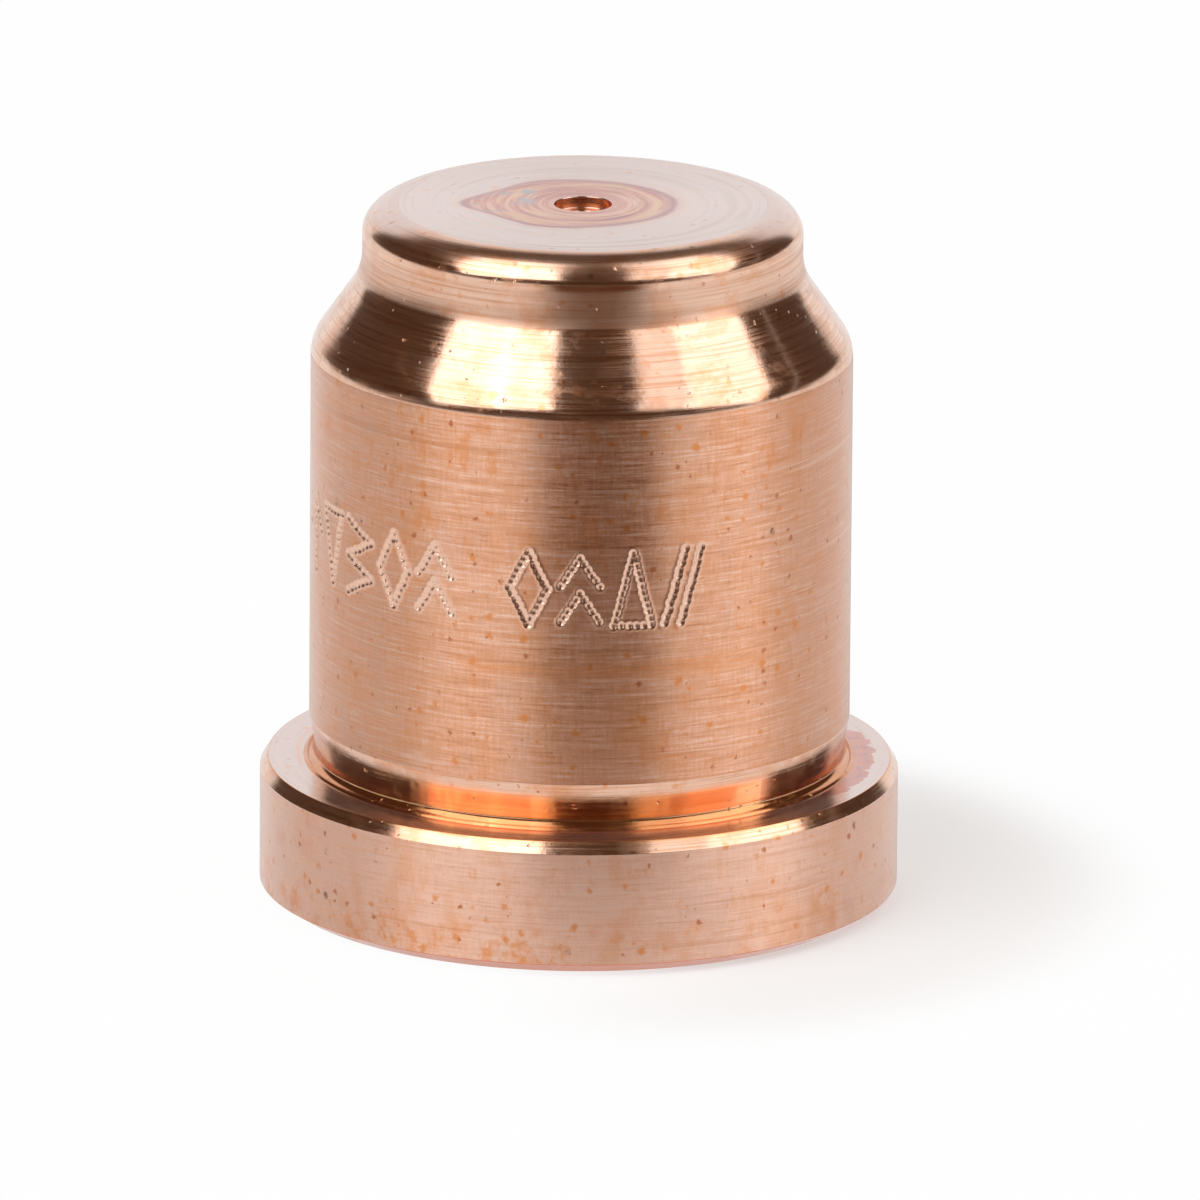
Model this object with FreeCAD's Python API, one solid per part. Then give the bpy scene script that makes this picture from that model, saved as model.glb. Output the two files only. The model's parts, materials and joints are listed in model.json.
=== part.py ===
import FreeCAD, Part
import math
import os

# Plasma torch nozzle, turned from one bar of copper.
# Millimetres and degrees. The axis of the nozzle is Z, with the flange's flat
# end face on z = 0 and the tip on top. The whole part is one half-section,
# turned round Z, so every size below is a radius, a height or an edge of it.

# Flange: the collar that the torch head clamps, at the open end
flange_diameter = 19.0
flange_thickness = 4.06
flange_chamfer_across = 0.23
flange_chamfer_down = 0.34
base_bevel_across = 0.52
base_bevel_up = 0.33

# Body: the plain cylinder above the flange
body_diameter = 16.08
shoulder_height = 16.8
shoulder_blend_radius = 1.35

# Relief groove where the body meets the flange, and the fine ridge outside it
relief_length = 1.36
relief_taper_angle = 10.0
groove_nose_radius = 0.25
ridge_height = 0.09
ridge_width = 0.16
ridge_crest_width = 0.05

# Nose: a cone that draws in to a short neck, then the flat tip
cone_half_angle = 35.0
neck_diameter = 13.06
neck_blend_radius = 1.9
overall_height = 21.0
tip_edge_across = 1.08
tip_edge_down = 0.85

# Mouth: the counterbore in the end face that takes the gas swirl ring
mouth_diameter = 13.0
mouth_depth = 2.6
mouth_chamfer = 0.4

# Chamber: the bore that the electrode stands in
chamber_diameter = 10.4
chamber_depth = 13.6
chamber_edge_chamfer = 0.3
chamber_corner_radius = 0.8

# Inner seat: the taper that leads the plasma gas into the orifice
seat_half_angle = 45.0
seat_end_diameter = 2.6
seat_end_radius = 0.5

# Orifice, and the small counterbore that opens it in the tip
orifice_diameter = 1.1
exit_diameter = 1.71
exit_depth = 0.35


class Section:
    """Half-section in the XZ plane, drawn point by point with lines and arcs."""

    def __init__(self, x, z):
        self.here = FreeCAD.Vector(x, 0, z)
        self.edges = []

    def line(self, x, z):
        """Straight run to a point."""
        there = FreeCAD.Vector(x, 0, z)
        self.edges.append(Part.LineSegment(self.here, there).toShape())
        self.here = there

    def rounded_corner(self, corner, after, radius):
        """Run towards a corner and turn it with a tangent arc of this radius."""
        corner = FreeCAD.Vector(corner[0], 0, corner[1])
        after = FreeCAD.Vector(after[0], 0, after[1])
        back = (self.here - corner).normalize()
        ahead = (after - corner).normalize()
        half_angle = back.getAngle(ahead) / 2
        setback = radius / math.tan(half_angle)
        start = corner + back * setback
        end = corner + ahead * setback
        bisector = (back + ahead).normalize()
        middle = corner + bisector * (radius / math.sin(half_angle) - radius)
        self.line(start.x, start.z)
        self.edges.append(Part.Arc(start, middle, end).toShape())
        self.here = end

    def quarter_ellipse(self, corner, end):
        """Quarter of an ellipse that cuts a square corner, tangent to both sides."""
        corner = FreeCAD.Vector(corner[0], 0, corner[1])
        end = FreeCAD.Vector(end[0], 0, end[1])
        quarter = Part.BezierCurve()
        quarter.setPoles([self.here, corner, end])
        quarter.setWeight(2, math.sqrt(0.5))
        self.edges.append(quarter.toShape())
        self.here = end

    def turned(self):
        """Solid made by turning the closed section round the Z axis."""
        face = Part.Face(Part.Wire(self.edges))
        origin = FreeCAD.Vector(0, 0, 0)
        return face.revolve(origin, FreeCAD.Vector(0, 0, 1), 360)


def flange_outside(section):
    """End face, bevelled lower edge, rim and chamfer, up to the flange's top face."""
    radius = flange_diameter / 2
    section.line(radius - base_bevel_across, 0)
    section.line(radius, base_bevel_up)
    section.line(radius, flange_thickness - flange_chamfer_down)
    section.line(radius - flange_chamfer_across, flange_thickness)


def relief_groove(section):
    """Fine ridge, groove with the tool's round nose, and taper out to the body."""
    radius = body_diameter / 2
    taper = math.radians(relief_taper_angle)
    relief_top = flange_thickness + relief_length
    taper_foot_radius = radius - relief_length * math.tan(taper)
    ridge_middle = radius + ridge_width / 2
    ridge_top = flange_thickness + ridge_height
    section.line(radius + ridge_width, flange_thickness)
    section.line(ridge_middle + ridge_crest_width / 2, ridge_top)
    section.line(ridge_middle - ridge_crest_width / 2, ridge_top)
    section.line(radius, flange_thickness)
    section.rounded_corner(
        (taper_foot_radius, flange_thickness),
        (radius, relief_top),
        groove_nose_radius,
    )
    section.line(radius, relief_top)


def nose_outside(section):
    """Shoulder, cone, neck and the rounded edge of the tip face."""
    body_radius = body_diameter / 2
    neck_radius = neck_diameter / 2
    cone_rise = (body_radius - neck_radius) / math.tan(math.radians(cone_half_angle))
    shoulder = (body_radius, shoulder_height)
    cone_top = (neck_radius, shoulder_height + cone_rise)
    tip_edge_foot = (neck_radius, overall_height - tip_edge_down)
    section.rounded_corner(shoulder, cone_top, shoulder_blend_radius)
    section.rounded_corner(cone_top, tip_edge_foot, neck_blend_radius)
    section.line(*tip_edge_foot)


def tip_edge(section):
    """Elliptical blend from the neck to the flat tip face."""
    neck_radius = neck_diameter / 2
    flat_radius = neck_radius - tip_edge_across
    section.quarter_ellipse((neck_radius, overall_height), (flat_radius, overall_height))


def orifice(section):
    """Exit counterbore in the tip and the orifice below it, down to the seat."""
    exit_radius = exit_diameter / 2
    orifice_radius = orifice_diameter / 2
    seat_end_height = seat_top_height()
    section.line(exit_radius, overall_height)
    section.line(exit_radius, overall_height - exit_depth)
    section.line(orifice_radius, overall_height - exit_depth)
    section.rounded_corner(
        (orifice_radius, seat_end_height),
        (seat_end_diameter / 2, seat_end_height),
        seat_end_radius,
    )


def seat_top_height():
    """Height at which the inner taper has drawn in to its small end."""
    fall = (chamber_diameter - seat_end_diameter) / 2
    return chamber_depth + fall / math.tan(math.radians(seat_half_angle))


def chamber(section):
    """Inner taper, electrode bore and mouth, back down to the end face."""
    chamber_radius = chamber_diameter / 2
    mouth_radius = mouth_diameter / 2
    section.line(seat_end_diameter / 2, seat_top_height())
    section.rounded_corner(
        (chamber_radius, chamber_depth),
        (chamber_radius, mouth_depth),
        chamber_corner_radius,
    )
    section.line(chamber_radius, mouth_depth + chamber_edge_chamfer)
    section.line(chamber_radius + chamber_edge_chamfer, mouth_depth)
    section.line(mouth_radius, mouth_depth)
    section.line(mouth_radius, mouth_chamfer)
    section.line(mouth_radius + mouth_chamfer, 0)


def make_nozzle():
    """Nozzle as one turned solid."""
    section = Section(mouth_diameter / 2 + mouth_chamfer, 0)
    flange_outside(section)
    relief_groove(section)
    nose_outside(section)
    tip_edge(section)
    orifice(section)
    chamber(section)
    return section.turned()


os.makedirs("parts", exist_ok=True)
nozzle = make_nozzle()
nozzle.exportStep("parts/nozzle.step")
print("nozzle", nozzle.isValid(), round(nozzle.Volume, 2), "mm3", nozzle.BoundBox)
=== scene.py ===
import json
import math
from collections import namedtuple

import bpy
from mathutils import Matrix, Quaternion, Vector


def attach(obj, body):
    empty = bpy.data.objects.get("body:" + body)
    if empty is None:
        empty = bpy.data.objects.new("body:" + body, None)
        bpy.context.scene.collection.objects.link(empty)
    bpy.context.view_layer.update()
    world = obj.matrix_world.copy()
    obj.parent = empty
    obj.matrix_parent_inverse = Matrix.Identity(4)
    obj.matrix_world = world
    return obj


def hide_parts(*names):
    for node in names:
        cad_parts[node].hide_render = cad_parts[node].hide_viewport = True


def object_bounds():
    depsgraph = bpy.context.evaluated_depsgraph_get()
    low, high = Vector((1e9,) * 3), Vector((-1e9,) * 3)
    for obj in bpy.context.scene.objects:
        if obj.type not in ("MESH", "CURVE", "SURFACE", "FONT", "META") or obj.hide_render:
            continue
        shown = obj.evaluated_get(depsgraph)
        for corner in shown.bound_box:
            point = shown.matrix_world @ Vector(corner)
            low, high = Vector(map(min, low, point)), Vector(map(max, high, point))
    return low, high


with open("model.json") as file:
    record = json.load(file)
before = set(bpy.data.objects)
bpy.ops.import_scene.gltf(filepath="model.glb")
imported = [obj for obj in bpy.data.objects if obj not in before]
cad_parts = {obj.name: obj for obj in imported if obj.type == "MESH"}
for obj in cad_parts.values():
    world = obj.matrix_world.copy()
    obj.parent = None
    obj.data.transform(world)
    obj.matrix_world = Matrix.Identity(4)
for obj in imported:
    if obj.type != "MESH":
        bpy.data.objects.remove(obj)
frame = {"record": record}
cad_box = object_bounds()


# ---------------------------------------------------------------------------
# Nozzle body
# One piece of copper bar, turned all over on a lathe: a clamping flange, a
# relief groove, a plain brushed body, a polished cone and neck, and a faced
# tip. The chamber and the orifice are bored from the two ends.
# ---------------------------------------------------------------------------
MM = 0.001
mounts = {mount["name"]: mount for mount in frame["record"]["mounts"]}


def fit_radius(name):
    """Radius of one of the nozzle's round fits."""
    return mounts[name]["dims"]["r_mm"] * MM


rim_radius = cad_box[1].x
tip_height = cad_box[1].z
flange_top = mounts["flange_seat"]["pos_m"][2]
body_radius = fit_radius("body_outside")

rim_chamfer_across = 0.23 * MM
rim_chamfer_down = 0.34 * MM
base_bevel_across = 0.52 * MM
base_bevel_up = 0.33 * MM
relief_length = 1.36 * MM
relief_depth = 0.24 * MM
groove_nose = 0.25 * MM
ridge_height = 0.09 * MM
ridge_width = 0.16 * MM
shoulder_height = 16.8 * MM
shoulder_blend = 1.35 * MM
cone_half_angle = math.radians(35)
neck_radius = 6.53 * MM
neck_blend = 1.9 * MM
tip_edge_across = 1.08 * MM
tip_edge_down = 0.85 * MM
brushing_ends = 16.54 * MM

mouth_radius = fit_radius("mouth")
mouth_depth = 2.6 * MM
mouth_chamfer = 0.4 * MM
chamber_radius = fit_radius("chamber")
chamber_depth = 13.6 * MM
chamber_edge = 0.3 * MM
chamber_blend = 0.8 * MM
seat_end_radius = 1.3 * MM
seat_end_blend = 0.5 * MM
orifice_radius = fit_radius("orifice")
exit_radius = 0.855 * MM
exit_depth = 0.35 * MM

worn_edge = 0.03 * MM
plain_spacing = 1.2 * MM
mark_height = 11.4 * MM
mark_half_band = 1.42 * MM
mark_spacing = 0.043 * MM

BRUSHED, BRIGHT, FACED, BORED = range(4)
Corner = namedtuple("Corner", "place blend steps finish spacing")
SectionPoint = namedtuple("SectionPoint", "radius height heading finish")


class HalfSection:
    """Wall of the nozzle on one side of its axis, walked anticlockwise corner by corner."""

    def __init__(self):
        self.corners = []

    def corner(self, radius, height, finish, blend=worn_edge, steps=2, spacing=plain_spacing):
        """Adds a corner with its blend, and the finish and point spacing of the run after it."""
        self.corners.append(Corner((radius, height), blend, steps, finish, spacing))

    def turned_corner(self, number):
        """Points round one corner's blend, each with the direction of travel through it."""
        corner = self.corners[number]
        before = self.corners[number - 1].place
        after = self.corners[(number + 1) % len(self.corners)].place
        radius, height = corner.place
        start = math.atan2(height - before[1], radius - before[0])
        turn = math.atan2(after[1] - height, after[0] - radius) - start
        turn = (turn + math.pi) % (2 * math.pi) - math.pi
        if abs(turn) < 1e-6:
            return [SectionPoint(radius, height, start, corner.finish)]
        if isinstance(corner.blend, tuple):
            return self.oval_corner(corner)
        setback = corner.blend * math.tan(abs(turn) / 2)
        side = math.copysign(corner.blend, turn)
        centre_radius = radius - setback * math.cos(start) - side * math.sin(start)
        centre_height = height - setback * math.sin(start) + side * math.cos(start)
        points = []
        for step in range(corner.steps + 1):
            heading = start + turn * step / corner.steps
            around = centre_radius + side * math.sin(heading)
            up = centre_height - side * math.cos(heading)
            points.append(SectionPoint(around, up, heading, BRIGHT))
        return points

    def oval_corner(self, corner):
        """Points round a square outer corner that is cut by a quarter of an ellipse."""
        across, down = corner.blend
        points = []
        for step in range(corner.steps + 1):
            turn = math.pi / 2 * step / corner.steps
            around = corner.place[0] - across * (1 - math.cos(turn))
            up = corner.place[1] - down * (1 - math.sin(turn))
            heading = math.atan2(down * math.cos(turn), -across * math.sin(turn))
            points.append(SectionPoint(around, up, heading, BRIGHT))
        return points

    def points(self):
        """All points of the closed outline, the first one repeated at the end."""
        turns = [self.turned_corner(number) for number in range(len(self.corners))]
        outline = []
        for number, corner in enumerate(self.corners):
            outline += turns[number][:-1]
            start = turns[number][-1]
            end = turns[(number + 1) % len(turns)][0]
            length = math.hypot(end.radius - start.radius, end.height - start.height)
            count = max(1, round(length / corner.spacing))
            for step in range(count):
                share = step / count
                around = start.radius + (end.radius - start.radius) * share
                up = start.height + (end.height - start.height) * share
                heading = math.atan2(end.height - start.height, end.radius - start.radius)
                outline.append(SectionPoint(around, up, heading, corner.finish))
        return outline + outline[:1]


def nozzle_section():
    """Half-section of the whole nozzle, from its end face round the outside and back."""
    cone_rise = (body_radius - neck_radius) / math.tan(cone_half_angle)
    ridge_middle = body_radius + ridge_width / 2
    seat_top = chamber_depth + chamber_radius - seat_end_radius
    section = HalfSection()
    section.corner(mouth_radius + mouth_chamfer, 0, FACED)
    section.corner(rim_radius - base_bevel_across, 0, BRIGHT, steps=3)
    section.corner(rim_radius, base_bevel_up, BRUSHED, steps=3)
    section.corner(rim_radius, flange_top - rim_chamfer_down, BRIGHT, steps=3)
    section.corner(rim_radius - rim_chamfer_across, flange_top, FACED, steps=3)
    section.corner(body_radius + ridge_width, flange_top, BRIGHT)
    section.corner(ridge_middle, flange_top + ridge_height, BRIGHT, steps=4)
    section.corner(body_radius, flange_top, BRIGHT)
    section.corner(body_radius - relief_depth, flange_top, BRIGHT, groove_nose, 8)
    section.corner(body_radius, flange_top + relief_length, BRUSHED, 4 * worn_edge, 2)
    section.corner(body_radius, mark_height - mark_half_band, BRUSHED, spacing=mark_spacing)
    section.corner(body_radius, mark_height + mark_half_band, BRUSHED)
    section.corner(body_radius, shoulder_height, BRIGHT, shoulder_blend, 10)
    section.corner(neck_radius, shoulder_height + cone_rise, BRIGHT, neck_blend, 12)
    section.corner(neck_radius, tip_height, FACED, (tip_edge_across, tip_edge_down), 14)
    section.corner(exit_radius, tip_height, BORED, steps=3)
    section.corner(exit_radius, tip_height - exit_depth, BORED)
    section.corner(orifice_radius, tip_height - exit_depth, BORED)
    section.corner(orifice_radius, seat_top, BORED)
    section.corner(seat_end_radius, seat_top, BORED, seat_end_blend, 4)
    section.corner(chamber_radius, chamber_depth, BORED, chamber_blend, 5)
    section.corner(chamber_radius, mouth_depth + chamber_edge, BORED)
    section.corner(chamber_radius + chamber_edge, mouth_depth, BORED)
    section.corner(mouth_radius, mouth_depth, BORED)
    section.corner(mouth_radius, mouth_chamfer, BRIGHT)
    return section.points()


def brushed_body(point):
    """The same point, brushed where it is on the shoulder below the end of the brushing."""
    on_shoulder = point.radius > 0.9 * body_radius and shoulder_height - shoulder_blend < point.height
    if on_shoulder and point.height < brushing_ends - 0.01 * MM:
        return point._replace(finish=BRUSHED)
    return point


section = [brushed_body(point) for point in nozzle_section()]


def section_mesh(points):
    """Loose points of a half-section in the XZ plane, with their outward directions and finishes."""
    mesh = bpy.data.meshes.new("half_section")
    mesh.from_pydata([(point.radius, 0, point.height) for point in points], [], [])
    outward = [(math.sin(point.heading), 0, -math.cos(point.heading)) for point in points]
    mesh.attributes.new("outward", "FLOAT_VECTOR", "POINT")
    mesh.attributes["outward"].data.foreach_set("vector", [part for way in outward for part in way])
    mesh.attributes.new("finish", "INT", "POINT")
    mesh.attributes["finish"].data.foreach_set("value", [point.finish for point in points])
    return mesh


def node(tree, kind, inputs=None, **settings):
    """Adds a node with its settings, and sets or links its inputs by name or number."""
    made = tree.nodes.new(kind)
    for setting, value in settings.items():
        setattr(made, setting, value)
    in_use = [socket for socket in made.inputs if socket.enabled]
    for key, value in (inputs or {}).items():
        socket = in_use[key] if isinstance(key, int) else next(s for s in in_use if s.name == key)
        if isinstance(value, bpy.types.NodeSocket):
            tree.links.new(value, socket)
        else:
            socket.default_value = value
    return made


def output(made, name=None):
    """A node's first output in use, or the one of that name."""
    in_use = [socket for socket in made.outputs if socket.enabled]
    return next(s for s in in_use if name is None or s.name == name)


def calc(tree, operation, *values):
    """Result of a math node on one, two or three values."""
    return output(node(tree, "ShaderNodeMath", dict(enumerate(values)), operation=operation))


def tree_with(name, inputs, result):
    """New Geometry Nodes tree with named inputs, its input node's sockets and its output node."""
    tree = bpy.data.node_groups.new(name, "GeometryNodeTree")
    for title, kind in inputs.items():
        tree.interface.new_socket(title, in_out="INPUT", socket_type="NodeSocket" + kind)
    tree.interface.new_socket(result, in_out="OUTPUT", socket_type="NodeSocketGeometry")
    return tree, tree.nodes.new("NodeGroupInput").outputs, tree.nodes.new("NodeGroupOutput")


def stored(tree, name, kind):
    """Value of a stored attribute."""
    return output(node(tree, "GeometryNodeInputNamedAttribute", {"Name": name}, data_type=kind))


def sampled(tree, geometry, value, index, kind):
    """Value at a numbered point of a geometry."""
    found = {"Geometry": geometry, "Value": value, "Index": index}
    return output(node(tree, "GeometryNodeSampleIndex", found, data_type=kind, domain="POINT"))


def store(tree, geometry, name, value, kind, domain):
    """Geometry with a value stored on it under a name."""
    kept = {"Geometry": geometry, "Name": name, "Value": value}
    return output(node(tree, "GeometryNodeStoreNamedAttribute", kept, data_type=kind, domain=domain))


def turned(tree, vector, angle):
    """A vector of the section's plane, turned round Z."""
    parts = node(tree, "ShaderNodeSeparateXYZ", {0: vector})
    along = calc(tree, "MULTIPLY", output(parts, "X"), calc(tree, "COSINE", angle))
    aside = calc(tree, "MULTIPLY", output(parts, "X"), calc(tree, "SINE", angle))
    return output(node(tree, "ShaderNodeCombineXYZ", {0: along, 1: aside, 2: output(parts, "Z")}))


def turning_tree():
    """Turns a half-section round Z, with one sector divided more finely than the rest."""
    inputs = {
        "Section": "Geometry",
        "Rows": "Int",
        "Columns": "Int",
        "Fine columns": "Int",
        "Fine start": "Float",
        "Fine sector": "Float",
    }
    tree, given, result = tree_with("turn_section", inputs, "Nozzle")
    grid = node(
        tree,
        "GeometryNodeMeshGrid",
        {"Vertices X": given["Rows"], "Vertices Y": given["Columns"]},
    )
    index = output(node(tree, "GeometryNodeInputIndex"))
    row = calc(tree, "FLOOR", calc(tree, "DIVIDE", index, given["Columns"]))
    column = calc(tree, "SUBTRACT", index, calc(tree, "MULTIPLY", row, given["Columns"]))
    faces_round = calc(tree, "SUBTRACT", given["Columns"], 1)
    plain_columns = calc(tree, "SUBTRACT", faces_round, given["Fine columns"])
    plain_sector = calc(tree, "SUBTRACT", 2 * math.pi, given["Fine sector"])
    fine_step = calc(tree, "DIVIDE", given["Fine sector"], given["Fine columns"])
    plain_step = calc(tree, "DIVIDE", plain_sector, plain_columns)
    fine_count = calc(tree, "MINIMUM", column, given["Fine columns"])
    plain_count = calc(tree, "SUBTRACT", column, fine_count)
    fine_part = calc(tree, "MULTIPLY_ADD", fine_count, fine_step, given["Fine start"])
    angle = calc(tree, "MULTIPLY_ADD", plain_count, plain_step, fine_part)

    position = output(node(tree, "GeometryNodeInputPosition"))
    place = sampled(tree, given["Section"], position, row, "FLOAT_VECTOR")
    outward = stored(tree, "outward", "FLOAT_VECTOR")
    outward = sampled(tree, given["Section"], outward, row, "FLOAT_VECTOR")
    face_row = calc(tree, "FLOOR", calc(tree, "DIVIDE", index, faces_round))
    finish = sampled(tree, given["Section"], stored(tree, "finish", "INT"), face_row, "INT")

    placed = {"Geometry": output(grid, "Mesh"), "Position": turned(tree, place, angle)}
    shape = output(node(tree, "GeometryNodeSetPosition", placed))
    shape = store(tree, shape, "outward", turned(tree, outward, angle), "FLOAT_VECTOR", "POINT")
    shape = store(tree, shape, "finish", finish, "INT", "FACE")
    shape = output(node(tree, "GeometryNodeFlipFaces", {"Mesh": shape}))
    seam = {"Geometry": shape, "Distance": 1e-7}
    shape = output(node(tree, "GeometryNodeMergeByDistance", seam))
    tree.links.new(shape, result.inputs["Nozzle"])
    return tree


def give(modifier, **values):
    """Sets a Geometry Nodes modifier's inputs, found by name and set by identifier."""
    for item in modifier.node_group.interface.items_tree:
        name = item.name.lower().replace(" ", "_")
        if item.in_out == "INPUT" and name in values:
            modifier[item.identifier] = values[name]


front = -90
marks_left = 85
marks_right = 31
fine_start = math.radians(front - marks_left)
fine_sector = math.radians(marks_left + marks_right)
fine_columns = 392
plain_columns = 80

nozzle_stock = bpy.data.objects.new("nozzle_stock", section_mesh(section))
bpy.context.collection.objects.link(nozzle_stock)
turning = nozzle_stock.modifiers.new("turning", "NODES")
turning.node_group = turning_tree()
give(
    turning,
    rows=len(section),
    columns=fine_columns + plain_columns,
    fine_columns=fine_columns,
    fine_start=fine_start,
    fine_sector=fine_sector,
)

# Punched marks ---------------------------------------------------------------
dot_radius = 0.122 * MM
dot_depth = 0.036 * MM
rim_rise = 0.019 * MM
dot_pitch = 0.2 * MM
mark_width = 1.14 * MM
mark_tall = 2.2 * MM
mark_step = math.radians(11)

MARKS = {
    "diamond": [[(0.5, 0), (1, 0.5), (0.5, 1), (0, 0.5), (0.5, 0)]],
    "chevrons": [[(0, 0.05), (0.5, 0.45), (1, 0.05)], [(0, 0.55), (0.5, 0.95), (1, 0.55)]],
    "peak": [[(0, 0), (0.5, 1), (1, 0), (0, 0)]],
    "funnel": [[(0, 1), (0.5, 0), (1, 1), (0, 1)]],
    "slants": [[(0, 0), (0.55, 1)], [(0.45, 0), (1, 1)]],
    "arrow": [[(0.5, 0), (0.5, 1)], [(0, 0.6), (0.5, 1), (1, 0.6)]],
    "zigzag": [[(0, 0), (1, 0.25), (0, 0.5), (1, 0.75), (0, 1)]],
}
MARK_GROUPS = {
    -10.9: ["diamond", "chevrons", "peak", "slants"],
    -76.1: ["arrow", "funnel", "zigzag", "diamond", "chevrons"],
}


def stroke_end(middle, across, up):
    """End of a stroke laid flat, from its place in a mark's own square."""
    return (middle + (across - 0.5) * mark_width, (up - 0.5) * mark_tall, 0)


def mark_strokes():
    """Straight strokes of the marks, laid flat: each group starts at its angle from the front."""
    ends = []
    for first_angle, names in MARK_GROUPS.items():
        for number, name in enumerate(names):
            middle = (math.radians(first_angle) + number * mark_step) * body_radius
            for path in MARKS[name]:
                for start, end in zip(path, path[1:]):
                    ends.append(stroke_end(middle, *start))
                    ends.append(stroke_end(middle, *end))
    mesh = bpy.data.meshes.new("mark_strokes")
    mesh.from_pydata(ends, [(i, i + 1) for i in range(0, len(ends), 2)], [])
    return mesh


def wrapped_dots(tree, given):
    """Points of the dots, spaced along the flat strokes and wrapped round the body."""
    strokes = output(node(tree, "GeometryNodeObjectInfo", {"Object": given["Strokes"]}), "Geometry")
    paths = output(node(tree, "GeometryNodeMeshToCurve", {"Mesh": strokes}))
    dots = tree.nodes.new("GeometryNodeCurveToPoints")
    dots.mode = "LENGTH"
    tree.links.new(paths, dots.inputs["Curve"])
    tree.links.new(given["Dot pitch"], dots.inputs["Length"])
    dots = output(dots, "Points")

    position = output(node(tree, "GeometryNodeInputPosition"))
    slip = calc(tree, "MULTIPLY", given["Dot radius"], 0.16)
    least = calc(tree, "MULTIPLY", slip, -1)
    jitter = node(
        tree,
        "FunctionNodeRandomValue",
        {"Min": least, "Max": slip, "Seed": given["Seed"]},
        data_type="FLOAT_VECTOR",
    )
    wander = output(node(tree, "ShaderNodeVectorMath", {0: position, 1: output(jitter)}))
    flat = node(tree, "ShaderNodeSeparateXYZ", {0: wander})
    angle = calc(tree, "DIVIDE", output(flat, "X"), given["Body radius"])
    x = calc(tree, "MULTIPLY", given["Body radius"], calc(tree, "SINE", angle))
    y = calc(tree, "MULTIPLY", given["Body radius"], calc(tree, "COSINE", angle))
    y = calc(tree, "MULTIPLY", y, -1)
    z = calc(tree, "ADD", output(flat, "Y"), given["Mark height"])
    wrapped = output(node(tree, "ShaderNodeCombineXYZ", {0: x, 1: y, 2: z}))
    return output(node(tree, "GeometryNodeSetPosition", {"Geometry": dots, "Position": wrapped}))


def dented(tree, given, dots):
    """Nozzle with a bowl and a raised lip at each dot, and its reach from them in dot radii."""
    position = output(node(tree, "GeometryNodeInputPosition"))
    nearest = output(node(tree, "GeometryNodeSampleNearest", {"Geometry": dots}, domain="POINT"))
    centre = sampled(tree, dots, position, nearest, "FLOAT_VECTOR")
    apart = node(tree, "ShaderNodeVectorMath", {0: position, 1: centre}, operation="DISTANCE")
    reach = calc(tree, "DIVIDE", output(apart, "Value"), given["Dot radius"])
    force = node(
        tree,
        "FunctionNodeRandomValue",
        {"Min": 0.75, "Max": 1.15, "ID": nearest, "Seed": given["Seed"]},
        data_type="FLOAT",
    )
    bowl = calc(tree, "SUBTRACT", 1, calc(tree, "MULTIPLY", reach, reach))
    bowl = calc(tree, "MULTIPLY", calc(tree, "MAXIMUM", bowl, 0), given["Dot depth"])
    from_lip = calc(tree, "DIVIDE", calc(tree, "SUBTRACT", reach, 1.15), 0.3)
    squared = calc(tree, "MULTIPLY", from_lip, from_lip)
    lip = calc(tree, "EXPONENT", calc(tree, "MULTIPLY", squared, -1))
    lip = calc(tree, "MULTIPLY", lip, given["Rim rise"])
    press = calc(tree, "SUBTRACT", calc(tree, "MULTIPLY", bowl, output(force)), lip)
    sunk = calc(tree, "MULTIPLY", press, -1)
    outward = stored(tree, "outward", "FLOAT_VECTOR")
    moved = node(tree, "ShaderNodeVectorMath", {0: outward, "Scale": sunk}, operation="SCALE")
    shape = {"Geometry": given["Nozzle"], "Offset": output(moved)}
    shape = output(node(tree, "GeometryNodeSetPosition", shape))
    struck = {"Value": reach, "From Min": 1.9, "From Max": 0.9}
    struck = output(node(tree, "ShaderNodeMapRange", struck, interpolation_type="SMOOTHSTEP"))
    return store(tree, shape, "struck", struck, "FLOAT", "POINT"), reach


def smoothed(tree, shape, reach):
    """Nozzle shaded by its section's own directions, and by its real surface round the dots."""
    real = output(node(tree, "GeometryNodeInputNormal"), "True Normal")
    near = node(
        tree,
        "FunctionNodeCompare",
        {"A": reach, "B": 2.2},
        data_type="FLOAT",
        operation="LESS_THAN",
    )
    outward = stored(tree, "outward", "FLOAT_VECTOR")
    choice = {0: output(near), 1: outward, 2: real}
    normal = output(node(tree, "GeometryNodeSwitch", choice, input_type="VECTOR"))
    smooth = output(node(tree, "GeometryNodeSetShadeSmooth", {0: shape}))
    shaded = {"Mesh": smooth, "Custom Normal": normal}
    return output(node(tree, "GeometryNodeSetMeshNormal", shaded, mode="FREE"))


def punching_tree(finishes):
    """Punches rows of dots along flat strokes that are wrapped round the body."""
    inputs = {
        "Nozzle": "Geometry",
        "Strokes": "Object",
        "Body radius": "Float",
        "Mark height": "Float",
        "Dot pitch": "Float",
        "Dot radius": "Float",
        "Dot depth": "Float",
        "Rim rise": "Float",
        "Seed": "Int",
    }
    tree, given, result = tree_with("punch_marks", inputs, "Nozzle")
    shape, reach = dented(tree, given, wrapped_dots(tree, given))
    shape = smoothed(tree, shape, reach)
    shape = output(node(tree, "GeometryNodeRealizeInstances", {0: shape}))
    shape = output(node(tree, "GeometryNodeSetMaterial", {"Geometry": shape, "Material": finishes[0]}))
    for number, material in list(enumerate(finishes))[1:]:
        same = node(
            tree,
            "FunctionNodeCompare",
            {"A": stored(tree, "finish", "INT"), "B": number},
            data_type="INT",
            operation="EQUAL",
        )
        chosen = {"Geometry": shape, "Selection": output(same), "Material": material}
        shape = output(node(tree, "GeometryNodeSetMaterial", chosen))
    tree.links.new(shape, result.inputs["Nozzle"])
    return tree


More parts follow.
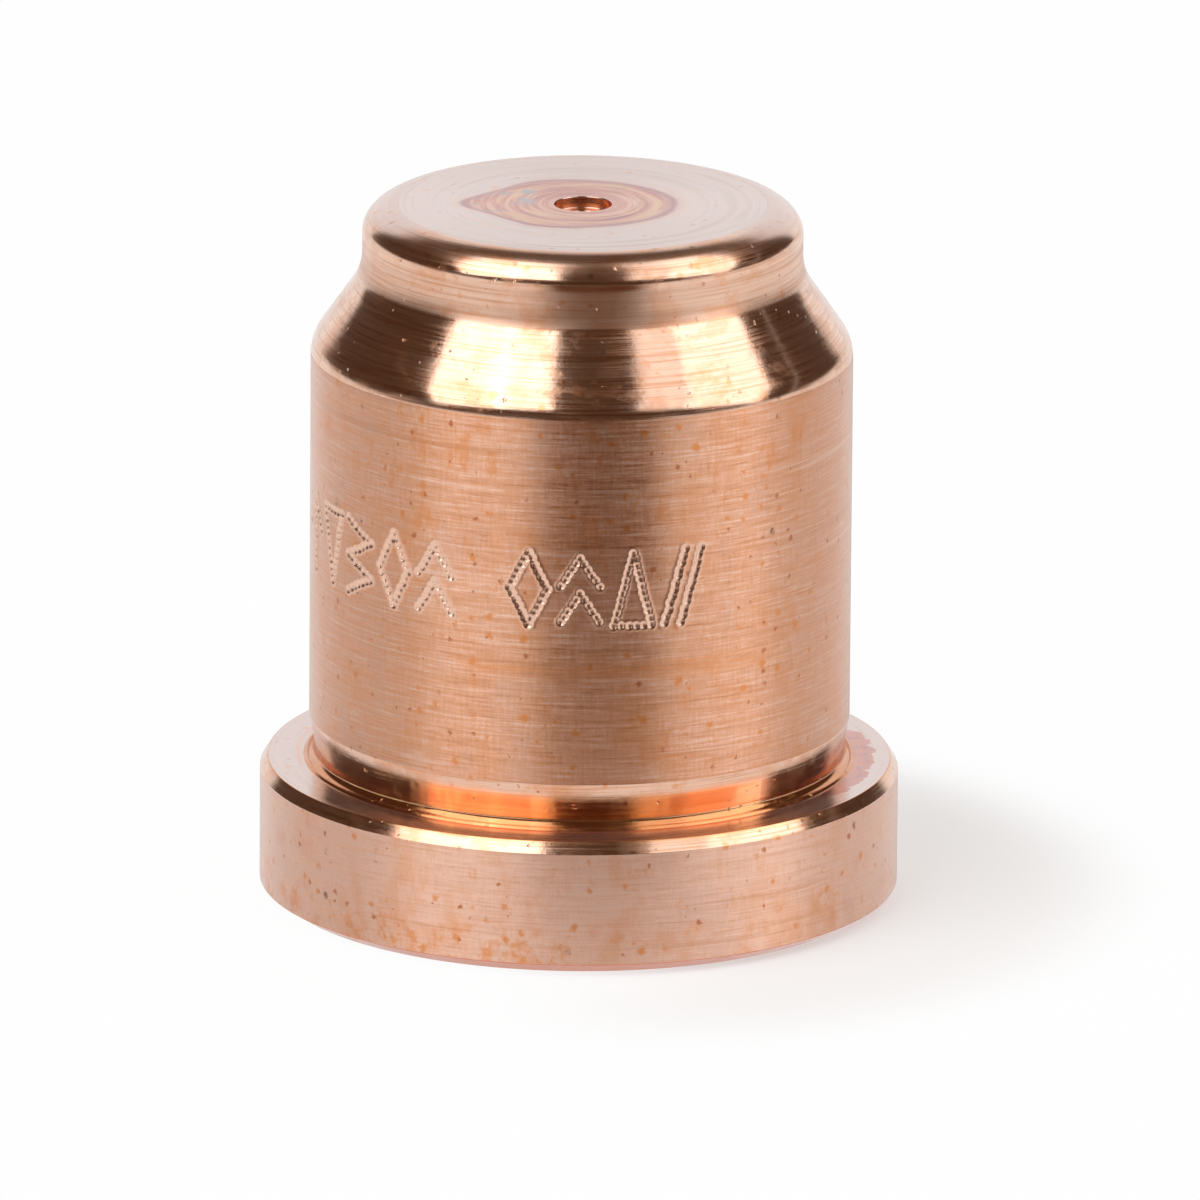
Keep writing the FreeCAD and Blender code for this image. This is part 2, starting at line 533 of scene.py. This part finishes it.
# Finishes --------------------------------------------------------------------
PALE_COPPER = (0.90, 0.60, 0.46, 1)
COPPER = (0.78, 0.40, 0.245, 1)
DEEP_COPPER = (0.62, 0.27, 0.13, 1)
RIM_COPPER = (0.88, 0.58, 0.46, 1)
# Painted reflection: the orange of copper reflecting copper, for the groove and the front of the flange
# top.
REFLECTED_COPPER_ORANGE = (0.78, 0.41, 0.21, 1)
GILT_COPPER = (0.82, 0.53, 0.39, 1)
FACED_COPPER = (0.69, 0.535, 0.50, 1)
BORE_COPPER = (0.74, 0.36, 0.20, 1)
RUST_ORANGE = (0.76, 0.28, 0.08, 1)
RUST_BROWN = (0.50, 0.15, 0.05, 1)
# Painted glints for the groove.
PAINTED_GLINT_GOLD = (0.90, 0.52, 0.26, 1)
DARK_OXIDE = (0.20, 0.085, 0.06, 1)
DULL_OIL = (0.60, 0.44, 0.38, 1)
PURPLE_TINT = (0.32, 0.09, 0.13, 1)
ROSE_TINT = (0.54, 0.16, 0.11, 1)
STRAW_TINT = (0.70, 0.38, 0.22, 1)
STEEL_TINT = (0.30, 0.29, 0.33, 1)
# The next two are painted light: a dull red for the shaded table reflected in the lower bevel, and a
# red-orange for copper reflecting copper in the groove, on the ridge and at the front of the flange
# top.
PAINTED_SHADE_RED = (0.64, 0.18, 0.08, 1)
REFLECTED_EMBER_RED = (0.64, 0.23, 0.08, 1)

LatheSpace = namedtuple("LatheSpace", "place x y radius height along")


def lathe_space(tree):
    """Place on the nozzle in millimetres, its radius and height, and the way along the section."""
    metres = output(node(tree, "ShaderNodeTexCoord"), "Object")
    scaled = node(tree, "ShaderNodeVectorMath", {0: metres, "Scale": 1000}, operation="SCALE")
    place = output(scaled)
    parts = node(tree, "ShaderNodeSeparateXYZ", {0: place})
    x = output(parts, "X")
    y = output(parts, "Y")
    height = output(parts, "Z")
    squares = calc(tree, "ADD", calc(tree, "MULTIPLY", x, x), calc(tree, "MULTIPLY", y, y))
    radius = calc(tree, "SQRT", squares)
    along = calc(tree, "SUBTRACT", height, radius)
    return LatheSpace(place, x, y, radius, height, along)


def joined(tree, x, y, z):
    """Vector of three values."""
    return output(node(tree, "ShaderNodeCombineXYZ", {0: x, 1: y, 2: z}))


def noise(tree, vector, scale=1.0, detail=2.0, roughness=0.5, distortion=0.0):
    """Cloudy random value at a place."""
    settings = {
        "Vector": vector,
        "Scale": scale,
        "Detail": detail,
        "Roughness": roughness,
        "Distortion": distortion,
    }
    return output(node(tree, "ShaderNodeTexNoise", settings))


def ramp(tree, value, start, end, low=0.0, high=1.0):
    """Value carried smoothly from low to high as it goes from start to end."""
    span = {"Value": value, "From Min": start, "From Max": end, "To Min": low, "To Max": high}
    return output(node(tree, "ShaderNodeMapRange", span, interpolation_type="SMOOTHSTEP"))


def both(tree, first, *others):
    """Product of masks."""
    for other in others:
        first = calc(tree, "MULTIPLY", first, other)
    return first


def band(tree, value, middle, half, soft):
    """Mask that is 1 within half of a middle value and fades out over a soft edge."""
    off = calc(tree, "ABSOLUTE", calc(tree, "SUBTRACT", value, middle))
    return ramp(tree, off, half + soft, half)


def stained(tree, under, over, amount):
    """One colour covered with another by an amount."""
    mix = {"Factor": amount, "A": under, "B": over}
    return output(node(tree, "ShaderNodeMix", mix, data_type="RGBA"))


def turning_lines(tree, space, per_mm, run, detail=3.0):
    """Fine lines left round the nozzle by a tool, with so many per millimetre and that run in mm."""
    x = calc(tree, "DIVIDE", space.x, run)
    y = calc(tree, "DIVIDE", space.y, run)
    return noise(tree, joined(tree, x, y, calc(tree, "MULTIPLY", space.along, per_mm)), 1, detail, 0.6)


def cross_streaks(tree, space, per_mm, run):
    """Faint streaks up and down the nozzle, where it was wiped and handled."""
    x = calc(tree, "MULTIPLY", space.x, per_mm)
    y = calc(tree, "MULTIPLY", space.y, per_mm)
    return noise(tree, joined(tree, x, y, calc(tree, "DIVIDE", space.along, run)), 1, 2, 0.5)


def specks(tree, space, cell, size, share):
    """Scattered spots: one spot at most in a cell, of random size, in a share of the cells."""
    wander = node(tree, "ShaderNodeTexNoise", {"Vector": space.place, "Scale": 7.0, "Detail": 2.0})
    wander = node(
        tree,
        "ShaderNodeVectorMath",
        {0: output(wander, "Color"), "Scale": 0.2},
        operation="SCALE",
    )
    where = node(tree, "ShaderNodeVectorMath", {0: space.place, 1: output(wander)})
    cells = node(tree, "ShaderNodeTexVoronoi", {"Vector": output(where), "Scale": 1 / cell})
    luck = node(tree, "ShaderNodeSeparateColor", {0: output(cells, "Color")})
    keen = calc(tree, "MULTIPLY", output(luck, "Red"), output(luck, "Red"))
    reach = calc(tree, "MULTIPLY", keen, size / cell)
    edge = calc(tree, "DIVIDE", output(cells, "Distance"), calc(tree, "ADD", reach, 0.001))
    spot = ramp(tree, edge, 1.0, 0.4)
    chosen = calc(tree, "LESS_THAN", output(luck, "Green"), share)
    return calc(tree, "MULTIPLY", spot, chosen)


def smears(tree, space, scale, stretch, least, soft=0.09):
    """Ragged patches of tarnish, drawn out along the section by a stretch."""
    x = calc(tree, "MULTIPLY", space.x, stretch)
    y = calc(tree, "MULTIPLY", space.y, stretch)
    ragged = noise(tree, joined(tree, x, y, space.along), scale, 6.0, 0.68)
    return ramp(tree, ragged, least, least + soft)


def raised(tree, height, distance, strength=1.0, normal=None):
    """Surface direction bumped by a height, where 1 stands for that distance in mm."""
    inputs = {"Strength": strength, "Distance": distance * MM, "Height": height}
    if normal is not None:
        inputs["Normal"] = normal
    return output(node(tree, "ShaderNodeBump", inputs))


def copper_finish(name, brushing, coat, coat_roughness, sheen):
    """New copper material whose gloss is drawn out across the turning lines, under a film of oil."""
    material = bpy.data.materials.new(name)
    material.use_nodes = True
    tree = material.node_tree
    shader = tree.nodes["Principled BSDF"]
    shader.inputs["Metallic"].default_value = 1
    shader.inputs["Anisotropic"].default_value = brushing
    shader.inputs["Anisotropic Rotation"].default_value = 0.25
    shader.inputs["Coat Weight"].default_value = coat
    shader.inputs["Coat Roughness"].default_value = coat_roughness
    shader.inputs["Sheen Weight"].default_value = sheen
    shader.inputs["Sheen Roughness"].default_value = 0.3
    tangent = node(tree, "ShaderNodeTangent", direction_type="RADIAL", axis="Z")
    tree.links.new(output(tangent), shader.inputs["Tangent"])
    return material, tree, shader


def finish_with(tree, shader, colour, roughness, normal):
    """Links a finish's colour, roughness and surface direction to its shader."""
    tree.links.new(colour, shader.inputs["Base Color"])
    tree.links.new(roughness, shader.inputs["Roughness"])
    tree.links.new(normal, shader.inputs["Normal"])


def handled(tree, space, colour, orange, dark):
    """Colour with the rust-orange specks and dark dots of a handled part."""
    small_rust = specks(tree, space, 0.5, 0.2, 0.6)
    rust = calc(tree, "MAXIMUM", small_rust, specks(tree, space, 1.4, 0.3, 0.25))
    colour = stained(tree, colour, RUST_ORANGE, calc(tree, "MULTIPLY", rust, orange))
    fine_rust = specks(tree, space, 0.37, 0.125, 0.5)
    colour = stained(tree, colour, RUST_BROWN, calc(tree, "MULTIPLY", fine_rust, orange))
    dots = specks(tree, space, 1.2, 0.22, 0.35)
    return stained(tree, colour, DARK_OXIDE, calc(tree, "MULTIPLY", dots, dark))


def tarnished(tree, space, colour, lines):
    """Brushed colour with clouds of tarnish and oil, a wiped ring and stains low on the rim."""
    cloud_place = joined(tree, space.x, space.y, both(tree, space.along, 0.6))
    clouds = noise(tree, cloud_place, 0.55, 6.0, 0.65)
    colour = stained(tree, colour, RUST_ORANGE, ramp(tree, clouds, 0.5, 0.66, 0, 0.3))
    colour = stained(tree, colour, DULL_OIL, ramp(tree, clouds, 0.47, 0.34, 0, 0.2))
    high = band(tree, space.height, 14.9, 1.2, 1.5)
    smear = smears(tree, space, 0.9, 1.6, 0.56)
    wide = calc(tree, "MULTIPLY_ADD", high, 0.3, 0.22)
    colour = stained(tree, colour, RUST_ORANGE, both(tree, smear, wide))
    fine_smear = smears(tree, space, 2.2, 1.0, 0.6)
    colour = stained(tree, colour, RUST_ORANGE, both(tree, fine_smear, 0.5))
    wiped = both(tree, band(tree, space.height, 8.9, 0.1, 0.35), ramp(tree, lines, 0.35, 0.6))
    wiped = both(tree, wiped, band(tree, space.x, 1.2, 3.6, 1.5), 0.55)
    colour = stained(tree, colour, RUST_ORANGE, wiped)
    low = ramp(tree, space.height, 2.0, 0.7)
    mostly_left = ramp(tree, space.x, 3.0, -1.0, 0.4, 0.8)
    low = both(tree, low, smears(tree, space, 1.5, 1.0, 0.46, 0.2), mostly_left)
    return stained(tree, colour, RUST_ORANGE, low)


def brushed_copper():
    """Brushed cylinder and rim: dense turning lines, tarnish, scratches, specks and punched dots."""
    material, tree, shader = copper_finish("copper_brushed", 0.83, 0.15, 0.3, 0.8)
    space = lathe_space(tree)
    dashes = turning_lines(tree, space, 18.0, 1.0)
    lines = turning_lines(tree, space, 11.0, 5.0, 4.0)
    streaks = cross_streaks(tree, space, 12.0, 0.7)
    grit = noise(tree, space.place, 14.0, 2.0, 0.7)
    struck = output(node(tree, "ShaderNodeAttribute", attribute_name="struck"), "Fac")

    weave = calc(tree, "MULTIPLY", dashes, 0.4)
    weave = calc(tree, "MULTIPLY_ADD", lines, 0.38, weave)
    weave = calc(tree, "MULTIPLY_ADD", streaks, 0.14, weave)
    weave = calc(tree, "MULTIPLY_ADD", grit, 0.15, weave)
    colour = stained(tree, DEEP_COPPER, COPPER, ramp(tree, weave, 0.36, 0.54))
    colour = stained(tree, colour, PALE_COPPER, ramp(tree, weave, 0.51, 0.68))
    on_rim = ramp(tree, space.height, 4.2, 4.0)
    colour = stained(tree, colour, RIM_COPPER, both(tree, on_rim, 0.7))
    scored = both(tree, on_rim, ramp(tree, weave, 0.58, 0.38, 0, 0.36))
    colour = stained(tree, colour, DEEP_COPPER, scored)

    colour = tarnished(tree, space, colour, lines)
    scratches = turning_lines(tree, space, 2.1, 16.0, 6.0)
    colour = stained(tree, colour, DEEP_COPPER, ramp(tree, scratches, 0.62, 0.68, 0, 0.38))
    colour = stained(tree, colour, PALE_COPPER, ramp(tree, scratches, 0.36, 0.31, 0, 0.6))
    colour = handled(tree, space, colour, 0.85, 0.75)
    colour = stained(tree, colour, PALE_COPPER, calc(tree, "MULTIPLY", struck, 0.8))

    roughness = ramp(tree, weave, 0.38, 0.62, 0.31, 0.44)
    roughness = calc(tree, "MULTIPLY", roughness, ramp(tree, struck, 0, 1, 1.0, 0.7))
    plain = calc(tree, "SUBTRACT", 1, struck)
    normal = raised(tree, calc(tree, "MULTIPLY", lines, plain), 0.003)
    normal = raised(tree, calc(tree, "MULTIPLY", dashes, plain), 0.0018, normal=normal)
    normal = raised(tree, calc(tree, "MULTIPLY", grit, plain), 0.0016, normal=normal)
    finish_with(tree, shader, colour, roughness, normal)
    return material


def with_painted_groove_reflection(tree, space, colour, coarse):
    """Bright colour with a painted reflection all round the relief groove: the warm mottled orange and
    gold glints of copper reflecting copper.
    """
    in_groove = ramp(tree, space.height, 5.15, 4.85)
    above_seat = ramp(tree, space.height, 3.9, 4.1)
    warm = both(tree, in_groove, above_seat, ramp(tree, coarse, 0.3, 0.6, 0.75, 1.0))
    glints = cross_streaks(tree, space, 1.1, 4.0)
    glow = stained(tree, REFLECTED_COPPER_ORANGE, REFLECTED_EMBER_RED, ramp(tree, coarse, 0.52, 0.38, 0, 0.7))
    glow = stained(tree, glow, PAINTED_GLINT_GOLD, ramp(tree, glints, 0.48, 0.62))
    return stained(tree, colour, glow, warm)


def bright_copper():
    """Polished cone, edges and groove, and the duller neck: clear reflections, stains and pits, with
    painted light: a painted orange reflection in the groove and on the ridge, a tip edge painted paler
    behind, and painted shade on the lower bevel.
    """
    material, tree, shader = copper_finish("copper_bright", 0.35, 0.2, 0.12, 0.35)
    space = lathe_space(tree)
    fine = turning_lines(tree, space, 12.0, 4.0)
    coarse = turning_lines(tree, space, 3.0, 9.0)
    grit = noise(tree, space.place, 7.0, 3.0, 0.7)
    clouds = noise(tree, space.place, 0.8, 4.0, 0.6)
    colour = stained(tree, GILT_COPPER, COPPER, ramp(tree, clouds, 0.45, 0.75))
    colour = stained(tree, colour, DEEP_COPPER, ramp(tree, fine, 0.5, 0.36, 0, 0.55))
    colour = stained(tree, colour, PALE_COPPER, ramp(tree, fine, 0.5, 0.7, 0, 0.7))
    oil = smears(tree, space, 0.7, 1.0, 0.52)
    colour = stained(tree, colour, RUST_ORANGE, both(tree, oil, 0.28))
    colour = with_painted_groove_reflection(tree, space, colour, coarse)
    # Painted reflection: the edge round the tip is painted the paler faced colour behind and at the
    # sides, and left warmer in front.
    tip_edge = both(tree, ramp(tree, space.height, 20.4, 20.9), ramp(tree, space.y, -4.2, -2.0))
    colour = stained(tree, colour, FACED_COPPER, both(tree, tip_edge, 0.8))
    # Painted reflection: the ridge at the foot of the groove is painted red-orange all round, for
    # copper reflecting copper.
    on_ridge = band(tree, space.height, 4.14, 0.08, 0.04)
    colour = stained(tree, colour, REFLECTED_EMBER_RED, both(tree, on_ridge, 0.8))
    # Painted shade: the bright surfaces below about 0.4 mm, the lower bevel and the mouth's chamfer,
    # are painted dull red for the shaded table they reflect.
    colour = stained(tree, colour, PAINTED_SHADE_RED, ramp(tree, space.height, 0.42, 0.36, 0, 0.9))
    colour = handled(tree, space, colour, 0.55, 0.5)
    haze = both(tree, ramp(tree, clouds, 0.4, 0.7, 0.35), ramp(tree, fine, 0.35, 0.65, 0.25))
    haze = calc(tree, "MAXIMUM", haze, both(tree, oil, 0.8))
    haze = calc(tree, "MAXIMUM", haze, ramp(tree, space.height, 20.25, 20.8, 0, 0.9))
    roughness = calc(tree, "MULTIPLY_ADD", haze, 0.16, 0.1)
    on_neck = band(tree, space.height, 19.5, 0.45, 0.3)
    roughness = calc(tree, "MAXIMUM", roughness, both(tree, on_neck, 0.36))
    fine_pits = specks(tree, space, 0.27, 0.07, 0.5)
    pits = calc(tree, "MAXIMUM", fine_pits, specks(tree, space, 0.9, 0.11, 0.2))
    normal = raised(tree, fine, 0.0013)
    normal = raised(tree, coarse, 0.0018, normal=normal)
    normal = raised(tree, grit, 0.0014, normal=normal)
    normal = raised(tree, pits, -0.015, normal=normal)
    finish_with(tree, shader, colour, roughness, normal)
    return material


def heat_tinted(tree, space, colour):
    """Tip colour with the tints left by the arc round the orifice, drawn out to a point at one side."""
    pull = ramp(tree, space.x, -1.2, -3.7, 1.0, 0.5)
    across = calc(tree, "DIVIDE", calc(tree, "ADD", space.x, 0.43), 3.35)
    deep = calc(tree, "DIVIDE", calc(tree, "DIVIDE", space.y, 2.9), pull)
    reach = calc(tree, "SQRT", calc(tree, "MULTIPLY_ADD", across, across, both(tree, deep, deep)))
    ragged = noise(tree, space.place, 1.1, 3.0, 0.55)
    reach = calc(tree, "MULTIPLY_ADD", ragged, 0.06, calc(tree, "SUBTRACT", reach, 0.03))
    inside = ramp(tree, reach, 1.0, 0.93)
    swirls = turning_lines(tree, space, 4.5, 2.5, 5.0)
    tint = stained(tree, ROSE_TINT, STRAW_TINT, ramp(tree, swirls, 0.4, 0.6))
    tint = stained(tree, tint, PURPLE_TINT, ramp(tree, swirls, 0.42, 0.3, 0, 0.8))
    blue = both(tree, noise(tree, space.place, 1.3, 5.0, 0.65), ramp(tree, space.x, 0.2, -1.6))
    tint = stained(tree, tint, STEEL_TINT, ramp(tree, blue, 0.5, 0.62, 0, 0.85))
    near = ramp(tree, space.radius, 1.7, 0.9, 0, 0.45)
    tint = stained(tree, tint, ROSE_TINT, near)
    tint = stained(tree, tint, PURPLE_TINT, both(tree, ramp(tree, reach, 0.82, 0.95), 0.75))
    halo = ramp(tree, reach, 1.12, 1.0, 0, 0.25)
    colour = stained(tree, colour, STRAW_TINT, halo)
    return stained(tree, colour, tint, both(tree, inside, 0.95))


def flange_stained(tree, space, colour, lines):
    """Flange colour with the ragged pink stain at one side of the groove and faint rings."""
    turn = calc(tree, "ARCTAN2", space.x, calc(tree, "MULTIPLY", space.y, -1))
    ragged = noise(tree, space.place, 2.2, 4.0, 0.65)
    side = band(tree, turn, math.radians(84), math.radians(21), math.radians(9))
    edge = calc(tree, "MULTIPLY_ADD", ragged, 0.7, calc(tree, "MULTIPLY", side, 0.62))
    edge = calc(tree, "SUBTRACT", calc(tree, "ADD", edge, 7.82), space.radius)
    within = both(tree, ramp(tree, edge, 0.0, 0.05), side)
    clouds = noise(tree, space.place, 1.4, 2.0, 0.5)
    tint = stained(tree, ROSE_TINT, PURPLE_TINT, ramp(tree, clouds, 0.4, 0.65, 0, 0.8))
    tint = stained(tree, ROSE_TINT, tint, ramp(tree, edge, 0.1, 0.25))
    colour = stained(tree, colour, tint, both(tree, within, 0.85))
    rings = both(tree, band(tree, space.radius, 8.35, 0.05, 0.16), ramp(tree, lines, 0.35, 0.6))
    return stained(tree, colour, RUST_ORANGE, both(tree, rings, 0.35))


def faced_copper():
    """Faced tip, end face and flange top: fine rings, heat tints on the tip, and a flange top painted
    orange at its front as a painted reflection, with a pink stain at one side.
    """
    material, tree, shader = copper_finish("copper_faced", 0.6, 0.45, 0.15, 0.3)
    space = lathe_space(tree)
    fine = turning_lines(tree, space, 8.0, 4.0)
    rings = turning_lines(tree, space, 2.6, 12.0)
    grit = noise(tree, space.place, 8.0, 2.0, 0.6)
    on_flange_top = band(tree, space.height, 4.0, 1.0, 1.0)
    colour = stained(tree, FACED_COPPER, PALE_COPPER, ramp(tree, fine, 0.48, 0.75, 0, 0.4))
    colour = stained(tree, colour, DULL_OIL, ramp(tree, rings, 0.46, 0.34, 0, 0.6))
    colour = stained(tree, colour, DULL_OIL, ramp(tree, fine, 0.47, 0.32, 0, 0.7))
    tinted = heat_tinted(tree, space, colour)
    # Painted reflection: the flange top is painted orange at its front only, for copper reflecting
    # copper; the pink stain and rings added next are real.
    warm = stained(tree, REFLECTED_EMBER_RED, REFLECTED_COPPER_ORANGE, ramp(tree, fine, 0.35, 0.65))
    warm = stained(tree, warm, colour, ramp(tree, space.y, -7.4, -5.6))
    warm = flange_stained(tree, space, warm, fine)
    colour = stained(tree, tinted, warm, on_flange_top)
    colour = handled(tree, space, colour, 0.4, 0.45)
    roughness = ramp(tree, fine, 0.3, 0.7, 0.16, 0.27)
    normal = raised(tree, fine, 0.003)
    normal = raised(tree, rings, 0.0035, normal=normal)
    normal = raised(tree, grit, 0.0012, normal=normal)
    finish_with(tree, shader, colour, roughness, normal)
    return material


def bored_copper():
    """Bored chamber, mouth and orifice: deeper copper with the rings of the boring tool."""
    material, tree, shader = copper_finish("copper_bored", 0.4, 0.1, 0.2, 0.0)
    space = lathe_space(tree)
    fine = turning_lines(tree, space, 5.0, 8.0)
    clouds = noise(tree, space.place, 0.8, 3.0, 0.55)
    colour = stained(tree, BORE_COPPER, COPPER, ramp(tree, fine, 0.35, 0.7))
    colour = stained(tree, colour, DEEP_COPPER, ramp(tree, clouds, 0.5, 0.8))
    roughness = ramp(tree, fine, 0.3, 0.7, 0.2, 0.34)
    normal = raised(tree, fine, 0.004)
    finish_with(tree, shader, colour, roughness, normal)
    return material


copper = [brushed_copper(), bright_copper(), faced_copper(), bored_copper()]

strokes = bpy.data.objects.new("mark_strokes", mark_strokes())
punching = nozzle_stock.modifiers.new("punching", "NODES")
punching.node_group = punching_tree(copper)
give(
    punching,
    strokes=strokes,
    body_radius=body_radius,
    mark_height=mark_height,
    dot_pitch=dot_pitch,
    dot_radius=dot_radius,
    dot_depth=dot_depth,
    rim_rise=rim_rise,
    seed=7,
)

evaluated = nozzle_stock.evaluated_get(bpy.context.evaluated_depsgraph_get())
nozzle_mesh = bpy.data.meshes.new_from_object(evaluated)
nozzle_mesh.materials.pop(index=0)
nozzle = bpy.data.objects.new("copper_nozzle", nozzle_mesh)
bpy.context.collection.objects.link(nozzle)
bpy.data.objects.remove(nozzle_stock)
bpy.data.objects.remove(strokes)
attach(nozzle, "root")
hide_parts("nozzle")


# ---------------------------------------------------------------------------
# Table, lights and camera
# A white table top in soft studio light: a big softbox with a seam at the front
# left, a divided one and a strip at the right, a white wall behind and the unlit
# room above. The table's glow gives way to the real shadow beside the nozzle.
# In reflections only, the table's front further out is painted dark brown: a painted shade.
# ---------------------------------------------------------------------------
table = bpy.data.meshes.new("table_top")
reach = 3.0
drop = -0.00002
table.from_pydata(
    [(-reach, -reach, drop), (reach, -reach, drop), (reach, reach, drop), (-reach, reach, drop)],
    [],
    [(0, 1, 2, 3)],
)
table_top = bpy.data.objects.new("table_top", table)
bpy.context.collection.objects.link(table_top)

WHITE = (1, 1, 1, 1)
TABLE_WHITE = (0.9, 0.9, 0.9, 1)
ROOM_BROWN = (0.085, 0.05, 0.03, 1)
FRONT_PAINTED_SHADE = (0.12, 0.06, 0.032, 1)

white_table = bpy.data.materials.new("white_table")
white_table.use_nodes = True
tree = white_table.node_tree
paint = tree.nodes["Principled BSDF"]
paint.inputs["Roughness"].default_value = 0.9
path = node(tree, "ShaderNodeLightPath")
table_space = lathe_space(tree)
turn = calc(tree, "ARCTAN2", table_space.x, calc(tree, "MULTIPLY", table_space.y, -1))
# Painted shade: in reflections only, the table is painted dark brown from 20 to 27 mm out, in a wedge
# in front of the nozzle.
in_front = band(tree, turn, math.radians(7), math.radians(18), math.radians(14))
unlit = both(tree, ramp(tree, table_space.radius, 20, 27), in_front, output(path, "Is Glossy Ray"))
glow_colour = stained(tree, WHITE, FRONT_PAINTED_SHADE, unlit)
glow = node(tree, "ShaderNodeEmission", {"Color": glow_colour, "Strength": 1.0})
tree.links.new(stained(tree, TABLE_WHITE, FRONT_PAINTED_SHADE, unlit), paint.inputs["Base Color"])
beside = both(tree, ramp(tree, table_space.radius, 19, 12), ramp(tree, table_space.x, -6, 9))
seen = both(tree, output(path, "Is Camera Ray"), ramp(tree, beside, 0, 1, 0.97, 0.48))
seen = calc(tree, "MULTIPLY_ADD", output(path, "Is Glossy Ray"), 0.75, seen)
mixed = node(tree, "ShaderNodeMixShader", {0: seen, 1: paint.outputs[0], 2: glow.outputs[0]})
tree.links.new(mixed.outputs[0], tree.nodes["Material Output"].inputs["Surface"])
table.materials.append(white_table)

rig_up = Vector((0, 0.465, 0.885))
rig_forward = Vector((0, -0.885, 0.465))


def softbox(name, start, end, bottom, top, radiance, distance=0.8):
    """Soft light between two bearings round the leaning light rig, in degrees from the front."""
    lamp = bpy.data.lights.new(name, "AREA")
    lamp.shape = "RECTANGLE"
    middle = math.radians((start + end) / 2)
    lamp.size = 2 * distance * math.tan(math.radians(end - start) / 2)
    lamp.size_y = distance * (top - bottom)
    lamp.energy = radiance * math.pi * lamp.size * lamp.size_y
    facing = rig_forward * math.cos(middle) + Vector((1, 0, 0)) * math.sin(middle)
    side = rig_up.cross(facing)
    box = bpy.data.objects.new(name, lamp)
    box.location = Vector((0, 0, tip_height / 2)) + (facing + rig_up * (top + bottom) / 2) * distance
    box.rotation_mode = "QUATERNION"
    box.rotation_quaternion = Matrix((side, rig_up, facing)).transposed().to_quaternion()
    box.visible_camera = False
    bpy.context.collection.objects.link(box)
    return box


softbox("left_softbox", -62, -11, -0.05, 2.5, 2.3)
softbox("left_softbox_seam", -34, -31.5, -0.05, 2.0, 1.6, 0.78)
softbox("right_softbox_front", 22, 40, -0.05, 2.5, 1.24)
softbox("right_softbox_back", 41, 80, -0.05, 2.5, 1.95)
softbox("right_strip", 96, 98, -0.4, 1.2, 0.3)

room = bpy.data.worlds.new("studio")
bpy.context.scene.world = room
room.use_nodes = True
tree = room.node_tree
tree.nodes.clear()
direction = output(node(tree, "ShaderNodeTexCoord"), "Generated")
where = node(tree, "ShaderNodeSeparateXYZ", {0: direction})
turn = calc(tree, "ARCTAN2", output(where, "X"), calc(tree, "MULTIPLY", output(where, "Y"), -1))
turn = calc(tree, "ABSOLUTE", turn)
rise = output(where, "Z")
behind = ramp(tree, turn, math.radians(140), math.radians(146))
low = ramp(tree, rise, math.sin(math.radians(38)), math.sin(math.radians(32)))
wall = calc(tree, "MAXIMUM", both(tree, behind, low), ramp(tree, rise, 0.002, -0.002))
wall = calc(tree, "MAXIMUM", wall, output(node(tree, "ShaderNodeLightPath"), "Is Camera Ray"))
room_colour = stained(tree, ROOM_BROWN, WHITE, wall)
light = node(tree, "ShaderNodeBackground", {"Color": room_colour, "Strength": 1.0})
tree.links.new(light.outputs[0], node(tree, "ShaderNodeOutputWorld").inputs["Surface"])

camera = bpy.data.cameras.new("camera")
camera.lens = 704.2
camera.sensor_width = 36
view = bpy.data.objects.new("camera", camera)
view.location = (0, -0.67099, 0.19945)
aim = Vector((0.00059, 0, 0.00882)) - view.location
view.rotation_mode = "QUATERNION"
level = aim.to_track_quat("-Z", "Y")
view.rotation_quaternion = level @ Quaternion((0, 0, 1), math.radians(0.425))
bpy.context.collection.objects.link(view)
bpy.context.scene.camera = view
bpy.context.scene.view_settings.view_transform = "Standard"
